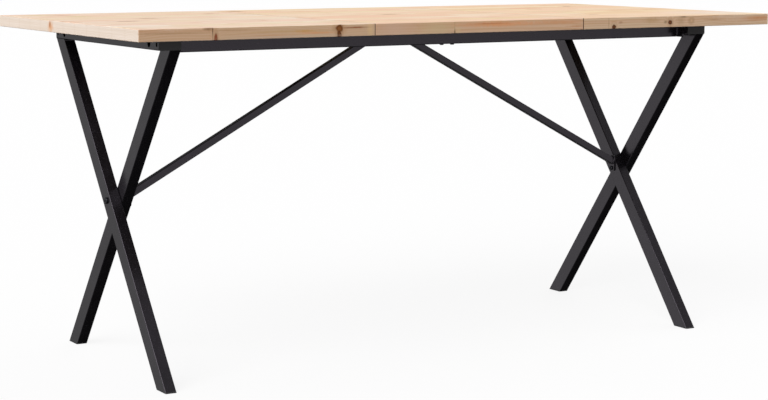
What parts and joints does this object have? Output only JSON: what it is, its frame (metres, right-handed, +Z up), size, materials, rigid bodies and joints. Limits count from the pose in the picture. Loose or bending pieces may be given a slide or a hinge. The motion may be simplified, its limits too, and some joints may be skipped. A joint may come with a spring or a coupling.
{
  "type": "sawbuck table",
  "caption": "Rectangular dining table with a panelled pine top on a black steel under-frame: an X of tubes at each end, long rails and diagonal braces.",
  "frame": {"origin": "on the floor, below the middle of the top", "axes": "+X along the table's length, +Y towards its back long edge, +Z up"},
  "size_m": [1.6, 0.8, 0.755],
  "materials": {
    "pine_panel": "clear matt lacquer on edge-glued pine staves",
    "beech_dowel": "plain turned beech",
    "black_powder_coat": "fine satin powder coat on steel",
    "black_plastic": "moulded, matt",
    "zinc_plate": "zinc-plated steel",
    "blackened_steel": "black oxide, satin"
  },
  "bodies": {
    "root": {"back_rail_end_plate_left": "black_powder_coat", "back_rail_end_plate_right": "black_powder_coat", "back_rail_left": "black_powder_coat", "back_rail_right": "black_powder_coat", "back_rail_sleeve": "zinc_plate", "brace_foot_bolts": "blackened_steel", "brace_foot_nuts": "zinc_plate", "brace_head_bolts": "blackened_steel", "brace_head_nuts": "zinc_plate", "centre_member": "black_powder_coat", "centre_member_bolts": "blackened_steel", "centre_member_nuts": "zinc_plate", "centre_member_plate_back": "black_powder_coat", "centre_member_plate_front": "black_powder_coat", "cross_bolts": "blackened_steel", "cross_nuts": "zinc_plate", "front_rail_end_plate_left": "black_powder_coat", "front_rail_end_plate_right": "black_powder_coat", "front_rail_left": "black_powder_coat", "front_rail_right": "black_powder_coat", "front_rail_sleeve": "zinc_plate", "left_brace": "black_powder_coat", "left_brace_foot_plate": "black_powder_coat", "left_brace_head_plate": "black_powder_coat", "left_crossbar": "black_powder_coat", "left_crossbar_cap_back": "black_plastic", "left_crossbar_cap_front": "black_plastic", "left_foot_inner_cap": "black_plastic", "left_foot_outer_cap": "black_plastic", "left_frame_welds": "black_powder_coat", "left_leg_inner": "black_powder_coat", "left_leg_outer": "black_powder_coat", "panel_centre": "pine_panel", "panel_dowels": "beech_dowel", "panel_left": "pine_panel", "panel_right": "pine_panel", "rail_bolts": "blackened_steel", "rail_end_nuts": "zinc_plate", "rail_sleeve_nuts": "zinc_plate", "rail_sleeve_screws": "blackened_steel", "rail_washers": "zinc_plate", "right_brace": "black_powder_coat", "right_brace_foot_plate": "black_powder_coat", "right_brace_head_plate": "black_powder_coat", "right_crossbar": "black_powder_coat", "right_crossbar_cap_back": "black_plastic", "right_crossbar_cap_front": "black_plastic", "right_foot_inner_cap": "black_plastic", "right_foot_outer_cap": "black_plastic", "right_frame_welds": "black_powder_coat", "right_leg_inner": "black_powder_coat", "right_leg_outer": "black_powder_coat", "seam_plate_left_back": "zinc_plate", "seam_plate_left_front": "zinc_plate", "seam_plate_left_middle": "zinc_plate", "seam_plate_right_back": "zinc_plate", "seam_plate_right_front": "zinc_plate", "seam_plate_right_middle": "zinc_plate", "seam_plate_screws": "zinc_plate", "top_screws": "zinc_plate"}
  },
  "joints": []
}
